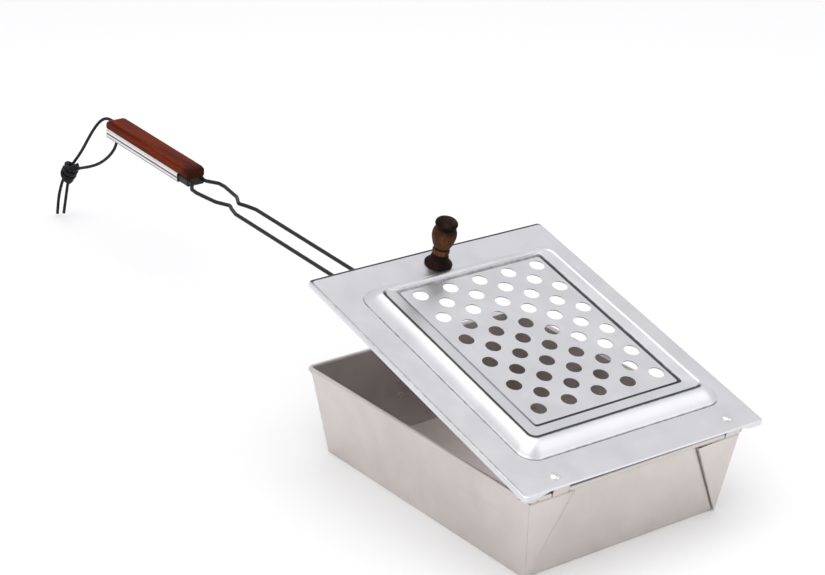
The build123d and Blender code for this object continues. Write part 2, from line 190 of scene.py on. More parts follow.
def settle(piece: bpy.types.Object, sharp: float = 38.0) -> bpy.types.Object:
    """Turn a piece's modifiers into plain mesh with crisp folds.

    Args:
        piece: The object whose modifiers are finished.
        sharp: Folds sharper than this angle, in degrees, stay crisp.

    Returns:
        The same object.
    """
    graph = bpy.context.evaluated_depsgraph_get()
    mesh = bpy.data.meshes.new_from_object(piece.evaluated_get(graph), depsgraph=graph)
    name = piece.name
    piece.modifiers.clear()
    if piece.type == "MESH":
        piece.data = mesh
    else:
        replacement = bpy.data.objects.new(name, mesh)
        bpy.context.scene.collection.objects.link(replacement)
        bpy.data.objects.remove(piece)
        piece = replacement
    mesh.shade_smooth()
    mesh.set_sharp_from_angle(angle=radians(sharp))
    return piece


def thicken(piece: bpy.types.Object, sheet: float) -> None:
    """Give an open skin the thickness of its sheet, on the side away from its faces."""
    solid = piece.modifiers.new("sheet", "SOLIDIFY")
    solid.thickness = sheet * MM
    solid.offset = -1.0


def outward(piece: bpy.types.Object) -> None:
    """Merge doubled points and turn every face outwards."""
    work = bmesh.new()
    work.from_mesh(piece.data)
    bmesh.ops.remove_doubles(work, verts=work.verts, dist=1e-6)
    bmesh.ops.recalc_face_normals(work, faces=work.faces)
    work.to_mesh(piece.data)
    work.free()


def rounded_ring(
    half: tuple[float, float],
    radius: float,
    arc_steps: int = 10,
    side_steps: int = 22,
) -> list[tuple[float, float]]:
    """Points of a rounded rectangle, anticlockwise from the lower right corner.

    Args:
        half: Half width and half length.
        radius: Corner radius.
        arc_steps: Steps in each corner.
        side_steps: Steps along each side.

    Returns:
        Pairs across and along from the centre.
    """
    corners = ((1, -1, -90), (1, 1, 0), (-1, 1, 90), (-1, -1, 180))
    points: list[tuple[float, float]] = []
    for index, (sx, sy, start) in enumerate(corners):
        cx = sx * (half[0] - radius)
        cy = sy * (half[1] - radius)
        for step in range(arc_steps + 1):
            angle = radians(start + 90 * step / arc_steps)
            points.append((cx + radius * cos(angle), cy + radius * sin(angle)))
        nx, ny, turn = corners[(index + 1) % 4]
        angle = radians(turn)
        goal = (
            nx * (half[0] - radius) + radius * cos(angle),
            ny * (half[1] - radius) + radius * sin(angle),
        )
        last = points[-1]
        for step in range(1, side_steps):
            share = step / side_steps
            points.append(
                (last[0] + share * (goal[0] - last[0]), last[1] + share * (goal[1] - last[1]))
            )
    return points


def revolve(
    name: str,
    foot: Vector,
    seat: Seat,
    outline: list[tuple[float, float]],
    segments: int = 64,
) -> bpy.types.Object:
    """Turn an outline round a seat's upward axis.

    Args:
        name: Name of the piece.
        foot: Point of the axis at height zero, in metres.
        seat: Seat that gives the axes.
        outline: Pairs of radius and height, from the bottom up.
        segments: Steps round the axis.

    Returns:
        The turned object, closed where the outline meets the axis.
    """
    rings: list[list[Vector]] = []
    for radius, height in outline:
        ring = []
        for step in range(segments):
            angle = 2 * pi * step / segments
            spoke = seat.across * cos(angle) + seat.along * sin(angle)
            ring.append(foot + (spoke * radius + seat.up * height) * MM)
        rings.append(ring)
    piece = loft(name, rings, caps=True)
    mark_points(piece, "turned", [h for _, h in outline for _ in range(segments)])
    return piece


# ------------------------------------------------------------------ geometry node recipes
@dataclass
class Recipe:
    """A geometry node tree that is built in steps, then run on an object once."""

    name: str
    tree: bpy.types.GeometryNodeTree = field(init=False)
    inputs: dict[str, str] = field(default_factory=dict)

    def __post_init__(self) -> None:
        """Make the empty tree with its geometry sockets."""
        self.tree = bpy.data.node_groups.new(self.name, "GeometryNodeTree")
        self.tree.interface.new_socket(
            name="Geometry", in_out="INPUT", socket_type="NodeSocketGeometry"
        )
        self.tree.interface.new_socket(
            name="Geometry", in_out="OUTPUT", socket_type="NodeSocketGeometry"
        )

    def want(self, name: str, kind: str) -> None:
        """Add a named input of a socket kind such as Float, Int or Material."""
        socket = self.tree.interface.new_socket(
            name=name, in_out="INPUT", socket_type=f"NodeSocket{kind}"
        )
        self.inputs[name] = socket.identifier

    def open(self) -> bpy.types.Node:
        """Place the input node, once every input is named."""
        return self.tree.nodes.new("NodeGroupInput")

    def add(self, kind: str, feeds: dict[str, object] | None = None, **settings: object):
        """Place a node.

        Args:
            kind: Node type without its usual prefix.
            feeds: Input name or number to a socket or a plain value.
            **settings: Node properties.

        Returns:
            The new node.
        """
        prefix = "" if kind.startswith(("ShaderNode", "FunctionNode")) else "GeometryNode"
        node = self.tree.nodes.new(prefix + kind)
        for key, value in settings.items():
            setattr(node, key, value)
        for key, value in (feeds or {}).items():
            sources = value if isinstance(value, list) else [value]
            for source in sources:
                if isinstance(source, bpy.types.NodeSocket):
                    self.tree.links.new(source, node.inputs[key])
                else:
                    node.inputs[key].default_value = source
        return node

    def finish(self, geometry: bpy.types.NodeSocket, material: bpy.types.NodeSocket) -> None:
        """End the tree: real geometry with its finish."""
        real = self.add("RealizeInstances", {"Geometry": geometry})
        dressed = self.add("SetMaterial", {"Geometry": real.outputs[0], "Material": material})
        exit_node = self.tree.nodes.new("NodeGroupOutput")
        self.tree.links.new(dressed.outputs[0], exit_node.inputs[0])

    def run(self, host: bpy.types.Object, values: dict[str, object]) -> bpy.types.Object:
        """Run the recipe on a host object and keep its result as plain mesh.

        Args:
            host: The object whose geometry goes in.
            values: Input name to value.

        Returns:
            The finished mesh object.
        """
        modifier = host.modifiers.new(self.name, "NODES")
        modifier.node_group = self.tree
        for name, value in values.items():
            modifier[self.inputs[name]] = value
        return settle(host)


def perforation_recipe() -> Recipe:
    """Sheet with rows of round holes, alternate rows shifted by half a pitch."""
    recipe = Recipe("perforated_sheet")
    for name in ("Width", "Length", "Corner", "Hole Radius", "Pitch", "Row Pitch", "Sheet",
                 "Field Across", "Field Along"):
        recipe.want(name, "Float")
    for name in ("Long Rows", "Short Rows", "Long Count", "Short Count"):
        recipe.want(name, "Int")
    recipe.want("Finish", "Material")
    given = recipe.open().outputs
    outline = recipe.add(
        "CurvePrimitiveQuadrilateral", {"Width": given["Width"], "Height": given["Length"]}
    )
    filleted = recipe.add(
        "FilletCurve",
        {"Curve": outline.outputs[0], "Radius": given["Corner"], "Count": 5},
        mode="POLY",
    )
    hole = recipe.add(
        "CurvePrimitiveCircle", {"Resolution": 40, "Radius": given["Hole Radius"]}
    )
    curves = [filleted.outputs[0]]
    for rows, count in (("Long Rows", "Long Count"), ("Short Rows", "Short Count")):
        spans = []
        for number, pitch, factor in ((count, "Pitch", 1.0), (rows, "Row Pitch", 2.0)):
            steps = recipe.add(
                "ShaderNodeMath", {0: given[number], 1: 1.0}, operation="SUBTRACT"
            )
            scaled = recipe.add("ShaderNodeMath", {0: steps.outputs[0], 1: factor},
                                operation="MULTIPLY")
            span = recipe.add(
                "ShaderNodeMath", {0: scaled.outputs[0], 1: given[pitch]}, operation="MULTIPLY"
            )
            spans.append(span.outputs[0])
        grid = recipe.add(
            "MeshGrid",
            {
                "Size X": spans[0],
                "Size Y": spans[1],
                "Vertices X": given[count],
                "Vertices Y": given[rows],
            },
        )
        holes = recipe.add(
            "InstanceOnPoints", {"Points": grid.outputs[0], "Instance": hole.outputs[0]}
        )
        curves.append(recipe.add("RealizeInstances", {0: holes.outputs[0]}).outputs[0])
    field_shift = recipe.add(
        "ShaderNodeCombineXYZ", {"X": given["Field Across"], "Y": given["Field Along"]}
    )
    all_holes = recipe.add("JoinGeometry", {0: curves[1:]})
    placed = recipe.add(
        "Transform",
        {"Geometry": all_holes.outputs[0], "Translation": field_shift.outputs[0]},
    )
    joined = recipe.add("JoinGeometry", {0: [curves[0], placed.outputs[0]]})
    skin = recipe.add("FillCurve", {"Curve": joined.outputs[0]}, mode="NGONS")
    under = recipe.add("FlipFaces", {0: skin.outputs[0]})
    raised = recipe.add(
        "ExtrudeMesh",
        {"Mesh": skin.outputs[0], "Offset Scale": given["Sheet"], "Individual": False},
        mode="FACES",
    )
    whole = recipe.add("JoinGeometry", {0: [under.outputs[0], raised.outputs[0]]})
    welded = recipe.add("MergeByDistance", {"Geometry": whole.outputs[0], "Distance": 1e-6})
    recipe.finish(welded.outputs[0], given["Finish"])
    return recipe


def stud_recipe() -> Recipe:
    """Domed heads set on the points of a mesh, each along the point's `axis`."""
    recipe = Recipe("studs")
    for name in ("Head Radius", "Dome"):
        recipe.want(name, "Float")
    recipe.want("Finish", "Material")
    given_node = recipe.open()
    given = given_node.outputs
    ball = recipe.add("MeshUVSphere", {"Segments": 36, "Rings": 18, "Radius": 1.0})
    size = recipe.add(
        "ShaderNodeCombineXYZ",
        {"X": given["Head Radius"], "Y": given["Head Radius"], "Z": given["Dome"]},
    )
    dome = recipe.add("Transform", {"Geometry": ball.outputs[0], "Scale": size.outputs[0]})
    axis = recipe.add("InputNamedAttribute", {"Name": "axis"}, data_type="FLOAT_VECTOR")
    turn = recipe.add(
        "FunctionNodeAlignRotationToVector", {"Vector": axis.outputs[0]}, axis="Z"
    )
    studs = recipe.add(
        "InstanceOnPoints",
        {"Points": given["Geometry"], "Instance": dome.outputs[0], "Rotation": turn.outputs[0]},
    )
    recipe.finish(studs.outputs[0], given["Finish"])
    return recipe


def tube_recipe() -> Recipe:
    """Round tube along a mesh's row of edges."""
    recipe = Recipe("round_tube")
    recipe.want("Radius", "Float")
    recipe.want("Finish", "Material")
    given = recipe.open().outputs
    route = recipe.add("MeshToCurve", {"Mesh": given["Geometry"]})
    section = recipe.add("CurvePrimitiveCircle", {"Resolution": 14, "Radius": given["Radius"]})
    tube = recipe.add(
        "CurveToMesh",
        {"Curve": route.outputs[0], "Profile Curve": section.outputs[0], "Fill Caps": True},
    )
    recipe.finish(tube.outputs[0], given["Finish"])
    return recipe


# ------------------------------------------------------------------ shader bench
@dataclass
class Bench:
    """A place to build a shader tree or a shared node group."""

    tree: bpy.types.NodeTree

    def add(self, kind: str, feeds: dict[object, object] | None = None, **settings: object):
        """Place a shader node.

        Args:
            kind: Node type without the ShaderNode prefix.
            feeds: Input name or number to a socket or a plain value.
            **settings: Node properties.

        Returns:
            The new node.
        """
        node = self.tree.nodes.new(f"ShaderNode{kind}")
        for key, value in settings.items():
            setattr(node, key, value)
        self.feed(node, feeds or {})
        return node

    def feed(self, node: bpy.types.Node, feeds: dict[object, object]) -> None:
        """Connect or set a node's inputs."""
        for key, value in feeds.items():
            if isinstance(value, bpy.types.NodeSocket):
                self.tree.links.new(value, node.inputs[key])
            else:
                node.inputs[key].default_value = value

    def spread(self, value: object, low: float, high: float, to_low: float, to_high: float):
        """Map a range of values onto another, clamped.

        Args:
            value: Socket to read.
            low: Start of the range read.
            high: End of the range read.
            to_low: Result at `low`.
            to_high: Result at `high`.

        Returns:
            The mapped socket.
        """
        node = self.add(
            "MapRange", {"Value": value, 1: low, 2: high, 3: to_low, 4: to_high}
        )
        return node.outputs[0]

    def sum(self, kind: str, first: object, second: object):
        """Combine two values with a math operation and return the socket."""
        return self.add("Math", {0: first, 1: second}, operation=kind).outputs[0]

    def blend(self, share: object, first: object, second: object):
        """Mix two colours by a share and return the socket."""
        node = self.add("Mix", data_type="RGBA")
        self.feed(node, {"Factor": share, "A": first, "B": second})
        for key, value in (("A", first), ("B", second)):
            sockets = [s for s in node.inputs if s.name == key and s.type == "RGBA"]
            if isinstance(value, bpy.types.NodeSocket):
                self.tree.links.new(value, sockets[0])
            else:
                sockets[0].default_value = value
        return [s for s in node.outputs if s.type == "RGBA"][0]


def shared_group(name: str, wants: dict[str, str], gives: dict[str, str]) -> tuple[Bench, dict, object]:
    """Start a shader node group.

    Args:
        name: Group name.
        wants: Input name to socket kind.
        gives: Output name to socket kind.

    Returns:
        The bench, the inputs by name, and the output node to feed.
    """
    tree = bpy.data.node_groups.new(name, "ShaderNodeTree")
    for label, kind in wants.items():
        tree.interface.new_socket(name=label, in_out="INPUT", socket_type=f"NodeSocket{kind}")
    for label, kind in gives.items():
        tree.interface.new_socket(name=label, in_out="OUTPUT", socket_type=f"NodeSocket{kind}")
    entry = tree.nodes.new("NodeGroupInput")
    return Bench(tree), {s.name: s for s in entry.outputs}, tree.nodes.new("NodeGroupOutput")


def handled_sheet_group() -> bpy.types.NodeTree:
    """Rolling lines, soft dents, smudges and fine scratches of handled sheet metal."""
    bench, given, out = shared_group(
        "handled_sheet",
        {"Vector": "Vector", "Scale": "Float"},
        {"Tone": "Float", "Gloss": "Float", "Height": "Float", "Waves": "Float"},
    )
    scaled = bench.add("VectorMath", {0: given["Vector"], "Scale": given["Scale"]},
                       operation="SCALE")
    clouds = bench.add("TexNoise", {"Vector": scaled.outputs[0], "Scale": 9.0, "Detail": 4.0,
                                    "Roughness": 0.55})
    smudge = bench.add("TexNoise", {"Vector": scaled.outputs[0], "Scale": 34.0, "Detail": 5.0,
                                    "Roughness": 0.62, "Distortion": 0.4})
    stretch = bench.add("Mapping", {"Vector": scaled.outputs[0], "Scale": (900.0, 26.0, 26.0)})
    lines = bench.add("TexNoise", {"Vector": stretch.outputs[0], "Scale": 1.0, "Detail": 2.0})
    turned = bench.add("Mapping", {"Vector": scaled.outputs[0], "Rotation": (0.2, 0.4, 0.9),
                                   "Scale": (700.0, 11.0, 60.0)})
    nicks = bench.add("TexNoise", {"Vector": turned.outputs[0], "Scale": 1.0, "Detail": 1.0})
    scratch = bench.spread(nicks.outputs[0], 0.66, 0.74, 0.0, 1.0)
    tone = bench.sum("ADD", bench.sum("MULTIPLY", clouds.outputs[0], 0.6),
                     bench.sum("MULTIPLY", smudge.outputs[0], 0.4))
    gloss = bench.sum("ADD", bench.sum("MULTIPLY", smudge.outputs[0], 0.75),
                      bench.sum("MULTIPLY", scratch, 0.25))
    height = bench.sum("SUBTRACT", bench.sum("MULTIPLY", lines.outputs[0], 0.5), scratch)
    bench.feed(out, {"Tone": tone, "Gloss": gloss, "Height": height,
                     "Waves": clouds.outputs[0]})
    return bench.tree


def wood_figure_group() -> bpy.types.NodeTree:
    """Grain of a hardwood that runs along the vector's Y: bands, streaks and pores."""
    bench, given, out = shared_group(
        "wood_figure",
        {"Vector": "Vector", "Band": "Float"},
        {"Figure": "Float", "Pores": "Float", "Height": "Float"},
    )
    slow = bench.add("Mapping", {"Vector": given["Vector"], "Scale": (120.0, 9.0, 120.0)})
    sway = bench.add("TexNoise", {"Vector": slow.outputs[0], "Scale": 1.0, "Detail": 3.0,
                                  "Distortion": 0.6})
    long = bench.add("Mapping", {"Vector": given["Vector"], "Scale": (420.0, 16.0, 420.0)})
    streak = bench.add("TexNoise", {"Vector": long.outputs[0], "Scale": given["Band"],
                                    "Detail": 5.0, "Roughness": 0.6})
    fine = bench.add("Mapping", {"Vector": given["Vector"], "Scale": (2600.0, 110.0, 2600.0)})
    pore = bench.add("TexNoise", {"Vector": fine.outputs[0], "Scale": 1.0, "Detail": 1.0})
    pores = bench.spread(pore.outputs[0], 0.60, 0.70, 0.0, 1.0)
    figure = bench.sum("ADD", bench.sum("MULTIPLY", sway.outputs[0], 0.45),
                       bench.sum("MULTIPLY", streak.outputs[0], 0.55))
    height = bench.sum("SUBTRACT", bench.sum("MULTIPLY", figure, 0.3), pores)
    bench.feed(out, {"Figure": figure, "Pores": pores, "Height": height})
    return bench.tree


def dust_group() -> bpy.types.NodeTree:
    """Thin dust that settles on faces that look up, broken up by noise."""
    bench, given, out = shared_group(
        "settled_dust", {"Vector": "Vector", "Amount": "Float"}, {"Dust": "Float"}
    )
    facing = bench.add("NewGeometry")
    parts = bench.add("SeparateXYZ", {0: facing.outputs["Normal"]})
    top = bench.spread(parts.outputs[2], 0.3, 0.95, 0.0, 1.0)
    specks = bench.add("TexNoise", {"Vector": given["Vector"], "Scale": 420.0, "Detail": 4.0})
    broken = bench.spread(specks.outputs[0], 0.45, 0.72, 0.0, 1.0)
    dust = bench.sum("MULTIPLY", bench.sum("MULTIPLY", top, broken), given["Amount"])
    bench.feed(out, {"Dust": dust})
    return bench.tree


Colour = tuple[float, float, float, float]


def paint(red: float, green: float, blue: float) -> Colour:
    """Opaque colour from linear parts."""
    return (red, green, blue, 1.0)


@dataclass(frozen=True)
class Finish:
    """Common base of every finish: its name and how strongly its relief shows."""

    name: str
    relief: float = 0.3

    def start(self) -> tuple[bpy.types.Material, Bench, bpy.types.Node]:
        """Make an empty material.

        Returns:
            The material, its bench and its surface shader.
        """
        material = bpy.data.materials.new(self.name)
        material.use_nodes = True
        material.node_tree.nodes.clear()
        bench = Bench(material.node_tree)
        surface = bench.add("BsdfPrincipled")
        out = bench.add("OutputMaterial")
        bench.tree.links.new(surface.outputs[0], out.inputs["Surface"])
        return material, bench, surface

    def place(self, bench: Bench) -> bpy.types.NodeSocket:
        """Object coordinates, in metres."""
        return bench.add("TexCoord").outputs["Object"]

    def group(self, bench: Bench, tree: str, feeds: dict[object, object]) -> bpy.types.Node:
        """Place a shared group in the material."""
        node = bench.tree.nodes.new("ShaderNodeGroup")
        node.node_tree = bpy.data.node_groups[tree]
        bench.feed(node, feeds)
        return node

    def bump(self, bench: Bench, height: object, distance: float) -> bpy.types.NodeSocket:
        """Relief from a height; `distance` is in metres."""
        node = bench.add("Bump", {"Height": height, "Strength": self.relief,
                                  "Distance": distance})
        return node.outputs[0]


@dataclass(frozen=True)
class SheetSteel(Finish):
    """Plated sheet steel with smudges and scratches, and painted shade along its folds."""

    bright: Colour = paint(0.72, 0.72, 0.75)
    dull: Colour = paint(0.60, 0.60, 0.63)
    shade_colour: Colour = paint(0.03, 0.03, 0.035)
    rough: tuple[float, float] = (0.24, 0.42)
    scale: float = 1.0
    folds: bool = False

    def build(self) -> bpy.types.Material:
        """Make the material."""
        material, bench, surface = self.start()
        place = self.place(bench)
        marks = self.group(bench, "handled_sheet", {"Vector": place, "Scale": self.scale})
        share = bench.spread(marks.outputs["Tone"], 0.32, 0.60, 0.0, 1.0)
        colour = bench.blend(share, self.dull, self.bright)
        rough = bench.spread(marks.outputs["Gloss"], 0.3, 0.7, self.rough[0], self.rough[1])
        if self.folds:
            # Painted shade: the `fold` value darkens creases, grooves and edges where shade falls,
            # broken up by noise.
            fold = bench.add("Attribute", attribute_name="fold").outputs["Fac"]
            ragged = bench.add("TexNoise", {"Vector": place, "Scale": 160.0, "Detail": 3.0})
            edge = bench.sum("ADD", fold, bench.spread(ragged.outputs[0], 0.3, 0.7, -0.06, 0.06))
            painted_shade = bench.spread(edge, 0.30, 0.80, 0.0, 0.95)
            colour = bench.blend(painted_shade, colour, self.shade_colour)
            rough = bench.sum("ADD", rough, bench.sum("MULTIPLY", painted_shade, 0.25))
        bench.feed(surface, {"Base Color": colour, "Roughness": rough, "Metallic": 1.0})
        waves = bench.add("Bump", {"Height": marks.outputs["Waves"], "Strength": 0.35,
                                   "Distance": 0.0006})
        relief = bench.add("Bump", {"Height": marks.outputs["Height"], "Strength": self.relief,
                                    "Distance": 0.00006, "Normal": waves.outputs[0]})
        bench.feed(surface, {"Normal": relief.outputs[0]})
        return material


@dataclass(frozen=True)
class Hardwood(Finish):
    """Figured hardwood, scorched where its `burnt` value says."""

    light: Colour = paint(0.19, 0.024, 0.004)
    dark: Colour = paint(0.060, 0.008, 0.003)
    burnt: Colour = paint(0.012, 0.007, 0.006)
    band: float = 1.0
    tilt: float = 0.0
    coat: Coat = Coat.LACQUER
    rough: tuple[float, float] = (0.30, 0.48)

    def build(self) -> bpy.types.Material:
        """Make the material."""
        material, bench, surface = self.start()
        lie = bench.add("Mapping", {"Vector": self.place(bench),
                                    "Rotation": (radians(self.tilt), 0.0, 0.0)})
        figure = self.group(bench, "wood_figure", {"Vector": lie.outputs[0], "Band": self.band})
        share = bench.spread(figure.outputs["Figure"], 0.36, 0.62, 0.0, 1.0)
        colour = bench.blend(share, self.dark, self.light)
        colour = bench.blend(bench.sum("MULTIPLY", figure.outputs["Pores"], 0.6), colour,
                             self.burnt)
        scorch = bench.add("Attribute", attribute_name="burnt").outputs["Fac"]
        smoke = bench.add("TexNoise", {"Vector": lie.outputs[0], "Scale": 90.0, "Detail": 4.0})
        char = bench.sum("ADD", scorch, bench.spread(smoke.outputs[0], 0.3, 0.7, -0.22, 0.22))
        colour = bench.blend(bench.spread(char, 0.25, 0.95, 0.0, 1.0), colour, self.burnt)
        rough = bench.spread(figure.outputs["Figure"], 0.3, 0.7, self.rough[0], self.rough[1])
        weight, clear = self.coat.value
        bench.feed(surface, {"Base Color": colour, "Roughness": rough, "Coat Weight": weight,
                             "Coat Roughness": clear, "Specular IOR Level": 0.02,
                             "Normal": self.bump(bench, figure.outputs["Height"], 0.00012)})
        return material


@dataclass(frozen=True)
class BlackPaint(Finish):
    """Black stove paint on steel, slightly dusty, with rubbed spots."""

    base: Colour = paint(0.009, 0.008, 0.009)
    rubbed: Colour = paint(0.08, 0.072, 0.066)
    rough: tuple[float, float] = (0.28, 0.45)

    def build(self) -> bpy.types.Material:
        """Make the material."""
        material, bench, surface = self.start()
        place = self.place(bench)
        rub = bench.add("TexNoise", {"Vector": place, "Scale": 150.0, "Detail": 4.0,
                                     "Roughness": 0.65})
        worn = bench.spread(rub.outputs[0], 0.64, 0.74, 0.0, 0.7)
        dust = self.group(bench, "settled_dust", {"Vector": place, "Amount": 0.04})
        colour = bench.blend(worn, self.base, self.rubbed)
        colour = bench.blend(dust.outputs[0], colour, paint(0.35, 0.34, 0.32))
        rough = bench.spread(rub.outputs[0], 0.3, 0.7, self.rough[0], self.rough[1])
        grain = bench.add("TexNoise", {"Vector": place, "Scale": 2200.0, "Detail": 2.0})
        bench.feed(surface, {"Base Color": colour, "Roughness": rough,
                             "Specular IOR Level": 0.25,
                             "Normal": self.bump(bench, grain.outputs[0], 0.00005)})
        return material


@dataclass(frozen=True)
class RoundLace(Finish):
    """Round black leather lace: fine creases, dry patches, dust and a slight sheen."""

    base: Colour = paint(0.005, 0.005, 0.007)
    dry: Colour = paint(0.020, 0.019, 0.022)

    def build(self) -> bpy.types.Material:
        """Make the material."""
        material, bench, surface = self.start()
        place = self.place(bench)
        hide = bench.add("TexVoronoi", {"Vector": place, "Scale": 1900.0},
                         feature="DISTANCE_TO_EDGE")
        crease = bench.spread(hide.outputs[0], 0.0, 0.25, 0.0, 1.0)
        patch = bench.add("TexNoise", {"Vector": place, "Scale": 260.0, "Detail": 4.0})
        share = bench.spread(patch.outputs[0], 0.42, 0.68, 0.0, 1.0)
        dust = self.group(bench, "settled_dust", {"Vector": place, "Amount": 0.03})
        colour = bench.blend(share, self.base, self.dry)
        colour = bench.blend(dust.outputs[0], colour, paint(0.3, 0.29, 0.28))
        rough = bench.spread(patch.outputs[0], 0.3, 0.7, 0.38, 0.58)
        bench.feed(surface, {"Base Color": colour, "Roughness": rough,
                             "Specular IOR Level": 0.14,
                             "Normal": self.bump(bench, crease, 0.00012)})
        return material


@dataclass(frozen=True)
class PaleFloor(Finish):
    """Plain pale matt floor."""

    tint: Colour = paint(0.93, 0.93, 0.93)

    def build(self) -> bpy.types.Material:
        """Make the material."""
        material, bench, surface = self.start()
        speck = bench.add("TexNoise", {"Vector": self.place(bench), "Scale": 3.0})
        colour = bench.blend(bench.spread(speck.outputs[0], 0.3, 0.7, 0.0, 0.02), self.tint,
                             paint(0.86, 0.86, 0.86))
        bench.feed(surface, {"Base Color": colour, "Roughness": 0.85})
        return material


class Finishes:
    """Every finish of the popper, built once from the shared groups."""

    def __init__(self) -> None:
        """Build the shared groups, then the materials."""
        handled_sheet_group()
        wood_figure_group()
        dust_group()
        self.lid = SheetSteel("lid_sheet", 0.25, bright=paint(0.74, 0.74, 0.765),
                              dull=paint(0.67, 0.67, 0.695), rough=(0.30, 0.44),
                              folds=True).build()
        self.pan = SheetSteel("pan_sheet", 0.25, bright=paint(0.68, 0.635, 0.61),
                              dull=paint(0.60, 0.555, 0.53), rough=(0.32, 0.48),
                              scale=1.3).build()
        self.pleat = SheetSteel("pleat_sheet", 0.25, bright=paint(0.68, 0.635, 0.61),
                                dull=paint(0.60, 0.555, 0.53), rough=(0.32, 0.48),
                                scale=1.3, folds=True).build()
        self.bright = SheetSteel("bright_sheet", 0.2, bright=paint(0.82, 0.81, 0.80),
                                 dull=paint(0.70, 0.69, 0.68), rough=(0.12, 0.26),
                                 scale=2.5, folds=True).build()
        self.fastener = SheetSteel("plated_fastener", 0.05, bright=paint(0.80, 0.79, 0.78),
                                   dull=paint(0.66, 0.65, 0.64), rough=(0.24, 0.36),
                                   scale=4.0).build()
        self.grip = Hardwood("grip_hardwood", 0.35, tilt=-2.8).build()
        self.knob = Hardwood("knob_hardwood", 0.35, light=paint(0.15, 0.064, 0.027),
                             dark=paint(0.045, 0.018, 0.010), band=1.6, tilt=75.6).build()
        self.paint = BlackPaint("stove_black", 0.3).build()
        self.lace = RoundLace("black_lace", 0.4).build()
        self.floor = PaleFloor("pale_floor").build()


def dress(piece: bpy.types.Object, material: bpy.types.Material) -> None:
    """Give a piece one material over all its faces."""
    piece.data.materials.clear()
    piece.data.materials.append(material)


def report(piece: bpy.types.Object, body: Body) -> bpy.types.Object:
    """Ride a new piece on its body and log it.

    Args:
        piece: The finished piece.
        body: The rigid body it moves with.

    Returns:
        The same piece.
    """
    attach(piece, body.value)
    log.info("%s rides on %s", piece.name, body.value)
    return piece


# ------------------------------------------------------------------ lid
@dataclass(frozen=True)
class Outline:
    """Rounded rectangle on the lid, by its centre and half size."""

    centre: tuple[float, float]
    half: tuple[float, float]

    def towards(self, other: "Outline", share: float, inset: float) -> "Outline":
        """An outline between this one and another.

        Args:
            other: The other outline.
            share: 0 for this outline, 1 for the other.
            inset: How far the result is drawn in on every side.

        Returns:
            The blended outline.
        """
        centre = Vector(self.centre).lerp(Vector(other.centre), share)
        half = Vector(self.half).lerp(Vector(other.half), share) - Vector((inset, inset))
        return Outline(tuple(centre), tuple(half))


class FoldShade(Enum):
    """Strength of the painted shade along a fold on the far, left, hinge and right sides."""

    NONE = (0.0, 0.0, 0.0, 0.0)
    EDGE = (1.0, 0.52, 0.2, 0.15)
    FOOT = (0.1, 0.85, 0.85, 0.1)
    CREST = (0.2, 1.0, 1.0, 0.0)
    PANEL = (0.62, 0.52, 1.0, 0.85)

    def at(self, u: float, v: float, half: tuple[float, float]) -> float:
        """Strength of the painted shade at a point of an outline, blended in the corners.

        Args:
            u: Place across from the outline's centre.
            v: Place along from the outline's centre.
            half: Half size of the outline.

        Returns:
            A factor from 0 to 1.
        """
        gaps = (half[1] - v, u + half[0], v + half[1], half[0] - u)
        weights = [exp(-max(gap, 0.0) / 2.5) for gap in gaps]
        return sum(w * part for w, part in zip(weights, self.value)) / sum(weights)


@dataclass(frozen=True)
class Ring:
    """One ring of the pressed shell, with the strength and side pattern of the painted shade along it.
    """

    outline: Outline
    corner: float
    height: float
    fold: float = 0.0
    painted_shade: FoldShade = FoldShade.NONE


